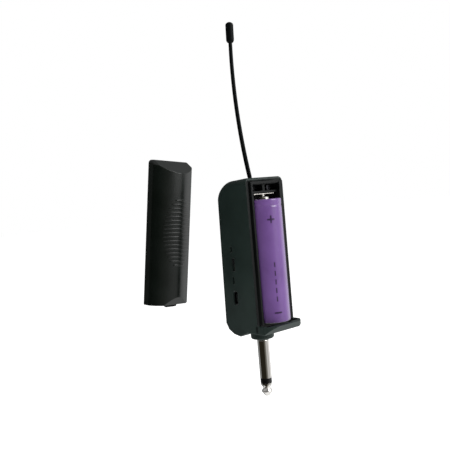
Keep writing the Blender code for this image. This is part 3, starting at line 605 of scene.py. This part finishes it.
def wrapped_patch(name, outlines, angle):
    """Thin printed patches on the cell's wrap; outlines hold (along the girth, z) boxes in mm."""
    bm = bmesh.new()
    inner, outer, columns = CELL_RADIUS - 0.05, CELL_RADIUS + 0.02, 6
    for (left, right), (low, high) in outlines:
        turns = [math.radians(angle) + (left + (right - left) * i / columns) / CELL_RADIUS
                 for i in range(columns + 1)]
        a, b, c, d = [[bm.verts.new(Vector((radius * math.cos(t), CELL_Y + radius * math.sin(t), z)) * MM)
                       for t in turns] for radius in (inner, outer) for z in (low, high)]
        for first, second in ((a, b), (b, d), (d, c), (c, a)):
            for i in range(columns):
                bm.faces.new((first[i], first[i + 1], second[i + 1], second[i]))
        bm.faces.new([row[0] for row in (a, b, d, c)])
        bm.faces.new([row[-1] for row in (a, c, d, b)])
    bmesh.ops.recalc_face_normals(bm, faces=bm.faces)
    mesh = bpy.data.meshes.new(name)
    bm.to_mesh(mesh)
    bm.free()
    return mesh


def wrap():
    """The shrink wrap: a tube turned in at both ends, drawn into the can's crimp."""
    r, low, top, thin = CELL_RADIUS, CELL_Z, CELL_TOP, WRAP_WALL
    sleeve = [(WRAP_MOUTH_RADIUS, top - 0.04), (WRAP_MOUTH_RADIUS + 0.3, top)]
    sleeve += arc((r - 0.7, top - 0.7), (0.7, 0.7), 90, 0, 8)
    sleeve += [(r - depth, top - below) for depth, below in CRIMP]
    sleeve += arc((r - 0.5, low + 0.5), (0.5, 0.5), 0, -90, 6)
    sleeve += [(WRAP_FOOT_RADIUS, low), (WRAP_FOOT_RADIUS, low + thin), (r - 0.6, low + thin)]
    sleeve += [(r - thin, low + 0.6), (r - thin, top - 0.6), (r - 0.6, top - thin)]
    sleeve += [(WRAP_MOUTH_RADIUS, top - thin)]
    return turned("cell_wrap", sleeve, (0.0, CELL_Y))


def cell():
    top, centre = CELL_TOP, (0.0, CELL_Y)
    piece(wrap(), WRAP, "cell", ["cell_sleeve"], sharp=50)
    inner, foot = NUB_RADIUS + GAP, top - RING_FOOT
    ring = [(inner, top - 0.2), (RING_RADIUS - 0.3, top - 0.2), (RING_RADIUS, top - 0.35)]
    ring += [(RING_RADIUS, foot), (inner, foot)]
    piece(turned("cell_top_ring", ring, centre), FIBRE, "cell", ["cell_insulator_ring"])
    nub = [(0, top + NUB_HEIGHT), (NUB_FLAT, top + NUB_HEIGHT)]
    nub += arc((NUB_RADIUS - NUB_ROUND, top + NUB_HEIGHT - NUB_ROUND), (NUB_ROUND, NUB_ROUND), 90, 0, 6)
    nub += [(NUB_RADIUS, foot), (0, foot)]
    piece(turned("cell_button", nub, centre), NICKEL, "cell", ["cell_positive_cap"])
    stroke, reach = PLUS_HALF_STROKE, PLUS_REACH
    bar = (PLUS_Z - stroke, PLUS_Z + stroke)
    marks = [((-stroke, stroke), (PLUS_Z - reach, PLUS_Z + reach)), ((-reach, -stroke), bar),
             ((stroke, reach), bar), ((-reach, reach), MINUS_Z)]
    marks += [((-DASH_HALF_WIDTH, DASH_HALF_WIDTH), (z, z + DASH_LENGTH)) for z in DASHES]
    piece(wrapped_patch("cell_marks", marks, MARK_ANGLE), PRINT, "cell", sharp=60)


# ---------------------------------------------------------------- controls

def switch():
    """The switch's knob, with grooves across its face."""
    side = -WIDTH / 2
    y0, y1, _, z1 = SWITCH_SLOT
    top = z1 - GAP
    outline = [(KNOB_INNER_X, top), (side + KNOB_FACE, top)]
    for i in range(KNOB_RIDGES):
        z = top - 0.35 - KNOB_PITCH * i
        outline += [(side + KNOB_VALLEY, z - 0.1), (side + KNOB_VALLEY, z - 0.4),
                    (side + KNOB_GROOVE, z - 0.5), (side + KNOB_GROOVE, z - 0.7)]
    outline += [(side + KNOB_FACE, top - KNOB_LENGTH), (KNOB_INNER_X, top - KNOB_LENGTH)]
    knob = prism("switch_slider", outline, (y0 + GAP, y1 - GAP), "y")
    piece(knob, GLOSS, "switch", ["switch_knob"], edge=0.06)


def lens(name, low, high):
    """A smoked light pipe in its window, crowned at its outer end."""
    outline = round_corners(rectangle((WINDOW_Y[0] + GAP, WINDOW_Y[1] - GAP), (low + GAP, high - GAP)), 0.2)
    cy, cz = (WINDOW_Y[0] + WINDOW_Y[1]) / 2, (low + high) / 2
    ends = [(LENS_INNER_X, 1.0)] + [(-WIDTH / 2 + depth, share) for depth, share in LENS_CROWN]
    rings = [[(x, cy + (y - cy) * share, cz + (z - cz) * share) for y, z in outline] for x, share in ends]
    piece(loft(f"window_lens_{name}", rings), LENS, "housing", [f"light_pipe_{name}"], sharp=50)


def socket():
    """The charging socket's shell and the tongue inside it."""
    side = -WIDTH / 2
    y0, y1, z0, z1 = PORT
    edge = GAP + PORT_WALL
    outer = round_corners(rectangle((y0 + GAP, y1 - GAP), (z0 + GAP, z1 - GAP)), 1.3, steps=10)
    inner = round_corners(rectangle((y0 + edge, y1 - edge), (z0 + edge, z1 - edge)), 1.0, steps=10)
    shell = combine("socket_shell", prism("shell_form", outer, (side + 0.5, PORT_INNER_X), "x"),
                    cuts=[prism("mouth", inner, (-15, PORT_INNER_X - 0.8), "x")])
    # painted shade: the socket's nickel shell is coloured dark because it lies in shade in its recess
    piece(shell, BLACK_STEEL_AND_SHADE, "housing", ["charging_socket_shell"], edge=0.05)
    middle, thin = (y0 + y1) / 2, TONGUE_HALF_THICKNESS
    tongue = prism("socket_tongue", round_corners(rectangle((middle - thin, middle + thin), TONGUE_Z), 0.12),
                   (side + 1.0, PORT_INNER_X - 1.1), "x")
    piece(tongue, GLOSS, "housing", ["charging_socket_tongue"], edge=0.05)


# ---------------------------------------------------------------- plug and antenna

def plug():
    bore, r = PLUG_BORE, PLUG_RADIUS
    barrel = [(bore, SHANK_TOP), (SHANK_RADIUS, SHANK_TOP), (SHANK_RADIUS, 0.0), (r - 0.2, 0.0),
              (r - 0.06, -0.06), (r, -0.2), (r, SLEEVE_END + 0.15), (r - 0.15, SLEEVE_END),
              (bore, SLEEVE_END)]
    piece(turned("plug_barrel", barrel), CHROME, "housing", ["plug_sleeve"], sharp=30)
    band = [(BAND_BORE, SLEEVE_END - 0.1), (r - 0.15, SLEEVE_END - 0.1), (r - 0.05, SLEEVE_END - 0.2),
            (r - 0.05, RING_END + 0.1), (r - 0.15, RING_END), (BAND_BORE, RING_END)]
    piece(turned("plug_band", band), GLOSS, "housing", ["plug_insulator_ring"], sharp=50)
    tip = [(0, ROD_TOP), (ROD_RADIUS, ROD_TOP), (ROD_RADIUS, RING_END - 0.1), (2.95, RING_END - 0.1),
           (3.05, RING_END - 0.2), (3.05, RING_END - 0.9), (2.9, RING_END - 1.05)]
    tip += [(radius, PLUG_TIP_Z + above) for radius, above in TIP_OUTLINE]
    piece(turned("plug_point", tip), CHROME, "housing", ["plug_tip"], sharp=24)


def whip_point(share):
    lean = WHIP_LEAN * (1 - (1 - share / WHIP_UPRIGHT_AT) ** 2)
    return Vector((-lean, ANTENNA_Y, TOP_Z + 0.5 + ANTENNA_LENGTH * share))


def antenna():
    count, sides = 60, 32
    forward = Vector((0, 1, 0))
    rings = []
    for i in range(count + 1):
        share = WHIP_OVERRUN * i / count
        along = (whip_point(share + 0.005) - whip_point(share - 0.005)).normalized()
        across = along.cross(forward).normalized()
        radius = WHIP_RADIUS - WHIP_TAPER * share - (0.15 if i == 0 else 0.0)
        rings.append([whip_point(share) + across * (radius * math.cos(math.tau * k / sides))
                      + forward * (radius * math.sin(math.tau * k / sides)) for k in range(sides)])
    piece(loft("whip_rod", rings), RUBBER, "antenna", ["antenna_whip"], sharp=50)
    end, behind = whip_point(1.0), whip_point(13 / 14)
    lean = math.atan2(end.x - behind.x, end.z - behind.z)
    r, length = CAP_RADIUS, CAP_LENGTH
    shape = [(0, length)] + arc((0, length - CAP_CROWN), (r, CAP_CROWN), 90, 0, 10)[1:]
    shape += [(r, 1.4), (r - 0.08, 1.1), (r - 0.35, 0.45), (r - 0.7, 0.1), (1.1, 0.0), (0, 0.0)]
    cap = turned("whip_end", shape, steps=64)
    cap.transform(Matrix.Translation((end + Vector((0, 0, GAP))) * MM) @ Matrix.Rotation(lean, 4, "Y"))
    piece(cap, RUBBER, "antenna", ["antenna_tip_cap"], sharp=50)


# ---------------------------------------------------------------- battery cover

def cover_slice(angle, side, inset, rear, floor):
    """The cover's (x, y, z) outline at one place across its width; floor is its lower edge."""
    x, front = arch_point(angle, inset)
    head_rise = (COVER_Z[1] - TOP_APEX_Z) / (COVER_HEAD_Y - CREST_Y)
    foot_rise = (BOTTOM_APEX_Z - COVER_Z[0]) / (COVER_FOOT_Y - CREST_Y)
    head, head_shift = COVER_Z[1] - inset, inset * math.sqrt(1 + head_rise ** 2)
    ridge = min(head, TOP_APEX_Z + (front - CREST_Y) * head_rise - head_shift)
    head_y = max(front, COVER_HEAD_Y + (head - COVER_Z[1] + head_shift) / head_rise)
    foot_top = BOTTOM_APEX_Z + inset * math.sqrt(1 + foot_rise ** 2)
    lower = max(floor, foot_top - (front - CREST_Y) * foot_rise)
    foot_y = max(front, CREST_Y + (foot_top - floor) / foot_rise)
    drop = fall(x - (WIDTH / 2 - inset - COVER_CORNER), COVER_CORNER)
    foot = [(rear, floor), (foot_y, floor), (front, lower)]
    top = [(front, ridge - drop), (head_y, head - drop), (rear, head - drop)]
    line = round_corners([(y, z) for y, z in foot + top], 0.5, steps=5, closed=False)
    return [(side * x, y, z) for y, z in line]


def cover_form(name, inset, rear, floor, columns=44):
    angles = [90 * i / columns for i in range(columns + 1)]
    slices = [cover_slice(a, -1, inset, rear, floor) for a in angles]
    slices += [cover_slice(a, 1, inset, rear, floor) for a in angles[-2::-1]]
    return loft(name, slices)


def rib_row(x, z, share, sides=10):
    """Points round a grip rib at one place across it; share fades its height out at its ends."""
    y, beside = (SHOULDER_Y - (SHOULDER_Y - CREST_Y) * arch_depth(u / (WIDTH / 2))
                 for u in (abs(x), abs(x) + 0.05))
    out = Vector((math.copysign((beside - y) / 0.05, x), -1.0)).normalized()
    thick = RIB_HALF_THICKNESS * (0.4 + 0.6 * share)
    row = []
    for k in range(sides):
        up, along = math.sin(math.tau * k / sides), math.cos(math.tau * k / sides)
        lift = RIB_HEIGHT * share * max(0.0, up) + RIB_SINK * min(0.0, up) - 0.03
        row.append((x + out.x * lift, y + out.y * lift, z + thick * along))
    return row


def grip_ribs():
    """Ribs across the crest inside an upright oval, each a low round bar set into the cover."""
    columns = 28
    bars = []
    for number in range(-RIBS_EACH_WAY, RIBS_EACH_WAY + 1):
        rise = RIB_PITCH * number
        reach = GRIP_HALF_WIDTH * math.sqrt(1 - (rise / GRIP_HALF_HEIGHT) ** 2)
        places = [reach * math.sin(math.radians(-90 + 180 * i / columns)) for i in range(columns + 1)]
        rows = [rib_row(x, GRIP_MIDDLE_Z + rise, max(0.0, 1 - abs(x / reach) ** 6) ** 0.5) for x in places]
        bars.append(loft("grip_rib", rows))
    return together("cover_grip_ribs", bars)


def cover_inside():
    """Ribs across the cover's hollow, the post that holds the snap bead and the tab's root."""
    outer = [arch_point(a, COVER_WALL - 0.2) for a in range(0, 91, 3)]
    inner = [arch_point(a, COVER_WALL + INNER_RIB_DEPTH) for a in range(0, 91, 3)]
    outline = outer + [(-x, y) for x, y in outer[-2::-1]] + [(-x, y) for x, y in inner] + inner[-2::-1]
    first, *others = [prism(f"rib_{z}", outline, (z - INNER_RIB_HALF, z + INNER_RIB_HALF), "z")
                      for z in INNER_RIB_Z]
    ribs = combine("cover_inner_ribs", first, joins=others)
    piece(laid_aside(ribs), SHADED_COVER_CHARCOAL, "cover", edge=0.1)
    x, y, z = BEAD_CENTRE
    post = turned("cover_catch_post", [(radius, z + above) for radius, above in CATCH_POST], (x, y), 48)
    piece(laid_aside(post), SHADED_COVER_CHARCOAL, "cover")
    root = prism("cover_tab_root", TAB_ROOT, TAB[0], "x")
    piece(laid_aside(root), SHADED_COVER_CHARCOAL, "cover", edge=0.06)


def cover():
    shell = combine("cover_shell", cover_form("cover_form", 0.0, COVER_REAR_Y, COVER_Z[0]),
                    cuts=[cover_form("cover_hollow", COVER_WALL, 0.0, COVER_Z[0] - 5)])
    # the cover's pieces wear the darkened charcoal, which is painted shade
    piece(laid_aside(shell), SHADED_COVER_CHARCOAL, "cover", ["battery_cover"], edge=0.15, sharp=30)
    piece(laid_aside(grip_ribs()), SHADED_COVER_CHARCOAL, "cover", sharp=60)
    cover_inside()
    tab = prism("cover_foot_tab", round_corners(rectangle(TAB[0], TAB[2]), TAB_CORNER), TAB[1], "y")
    piece(laid_aside(tab), GLOSS, "cover", ["cover_tab"], edge=0.3)


# ---------------------------------------------------------------- pieces kept from the CAD

KEPT = {
    "cell_can": CAN, "cover_snap_bead": GLOSS, "positive_contact": NICKEL, "negative_contact": NICKEL,
    "negative_spring": NICKEL, "main_board": MASK, "rf_shield_can": CAN, "controller_chip": EPOXY,
    "audio_chip": EPOXY, "charger_chip": EPOXY, "power_inductor": EPOXY, "crystal_can": NICKEL,
    "capacitor_1": CAN, "capacitor_2": CAN, "board_screw_1": NICKEL, "board_screw_2": NICKEL,
    "tray_screw_1": BLACK_STEEL_AND_SHADE, "tray_screw_2": BLACK_STEEL_AND_SHADE, "switch_body": NICKEL,
    "indicator_led_upper": LED, "indicator_led_lower": LED, "signal_lead": RED, "ground_lead": BLACK,
    "negative_lead": BLACK, "antenna_lead": BLACK, "plug_insulator_tube": GLOSS, "plug_nut": NICKEL,
    "antenna_socket": NICKEL,
}


def kept_nodes():
    for name, mat in KEPT.items():
        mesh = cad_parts[name].data
        mesh.materials.clear()
        mesh.materials.append(mat)


# ---------------------------------------------------------------- camera, light and stage

def horizontal(azimuth):
    """A level direction; azimuth counts from +Y towards +X."""
    return Vector((math.sin(math.radians(azimuth)), math.cos(math.radians(azimuth)), 0.0))


def camera():
    data = bpy.data.cameras.new("camera")
    data.lens = CAMERA_LENS
    data.sensor_width = 36.0
    data.clip_start = 0.01
    data.clip_end = 20.0
    obj = bpy.data.objects.new("camera", data)
    down = math.radians(CAMERA_DOWN)
    look = horizontal(CAMERA_AZIMUTH) * math.cos(down) - Vector((0, 0, math.sin(down)))
    right = look.cross(Vector((0, 0, 1))).normalized()
    up = right.cross(look)
    upright = Matrix((right, up, -look)).transposed().to_4x4()
    roll = Matrix.Rotation(math.radians(-CAMERA_ROLL), 4, "Z")
    obj.matrix_world = Matrix.Translation(Vector(CAMERA_AT) * MM) @ upright @ roll
    bpy.context.scene.collection.objects.link(obj)
    bpy.context.scene.camera = obj


def softbox(name, turn, elevation, distance, size, radiance):
    """A rectangular light that faces the object; size is (width, height) in metres."""
    data = bpy.data.lights.new(name, "AREA")
    data.shape = "RECTANGLE"
    data.size, data.size_y = size
    data.energy = radiance * math.pi * size[0] * size[1]
    obj = bpy.data.objects.new(name, data)
    rise = math.radians(elevation)
    away = horizontal(CAMERA_AZIMUTH + turn) * math.cos(rise) + Vector((0, 0, math.sin(rise)))
    obj.location = AIM + away * distance
    obj.rotation_euler = away.to_track_quat("Z", "Y").to_euler()
    bpy.context.scene.collection.objects.link(obj)


def facing(tree, towards, turn, outer, inner):
    """1 in directions within inner degrees of one that is turn degrees from the camera's azimuth,
    fading to 0 at outer degrees from it."""
    level = node(tree, "ShaderNodeVectorMath", {"operation": "DOT_PRODUCT"})
    tree.links.new(towards, level.inputs[0])
    level.inputs[1].default_value = horizontal(CAMERA_AZIMUTH + turn)
    edge, core = math.cos(math.radians(outer)), math.cos(math.radians(inner))
    return ramp(tree, level.outputs["Value"], edge, core, 0.0, 1.0)


def studio():
    """White all round, with darker walls in places that the glossy pieces mirror."""
    world = bpy.data.worlds.new("studio")
    world.use_nodes = True
    tree = world.node_tree
    white = (1.0, 1.0, 1.0, 1.0)
    towards = tree.nodes.new("ShaderNodeTexCoord").outputs["Generated"]
    height = node(tree, "ShaderNodeSeparateXYZ", Vector=towards).outputs["Z"]
    ceiling = (CEILING_GREY, CEILING_GREY, CEILING_GREY, 1.0)
    colour = mixed(tree, ramp(tree, height, 0.25, 0.8, 0.0, 1.0), white, ceiling)
    for turn, outer, inner, shade in GREY_WALLS:
        colour = mixed(tree, facing(tree, towards, turn, outer, inner), colour, (*shade, 1.0))
    turn, outer, inner, shade = DARK_WALL
    part = node(tree, "ShaderNodeMath", {"operation": "MULTIPLY"})
    tree.links.new(facing(tree, towards, turn, outer, inner), part.inputs[0])
    tree.links.new(ramp(tree, height, 0.35, 0.65, 1.0, 0.0), part.inputs[1])
    colour = mixed(tree, part.outputs[0], colour, (*shade, 1.0))
    seen = tree.nodes.new("ShaderNodeLightPath").outputs["Is Camera Ray"]
    tree.links.new(mixed(tree, seen, colour, white), tree.nodes["Background"].inputs["Color"])
    bpy.context.scene.world = world
    bpy.context.scene.view_settings.view_transform = "Standard"


def stage():
    reach = 3000
    rows = [[(-reach, y, 0), (reach, y, 0)] for y in (-reach, reach)]
    floor = place("floor", loft("floor", rows, cyclic=False, caps=False))
    floor.location.z = CAD_BOX[0][2] - 0.004
    mat = bpy.data.materials.new("floor_white")
    mat.use_nodes = True
    shader = mat.node_tree.nodes["Principled BSDF"]
    shader.inputs["Base Color"].default_value = (0.95, 0.95, 0.95, 1)
    shader.inputs["Roughness"].default_value = 1.0
    shader.inputs["Emission Color"].default_value = (1, 1, 1, 1)
    shader.inputs["Emission Strength"].default_value = FLOOR_GLOW
    floor.data.materials.append(mat)
    floor.visible_glossy = False


camera()
studio()
stage()
for light, settings in SOFTBOXES.items():
    softbox(light, *settings)
housing()
tray()
cell()
switch()
for window, heights in WINDOWS.items():
    lens(window, *heights)
socket()
plug()
antenna()
cover()
kept_nodes()
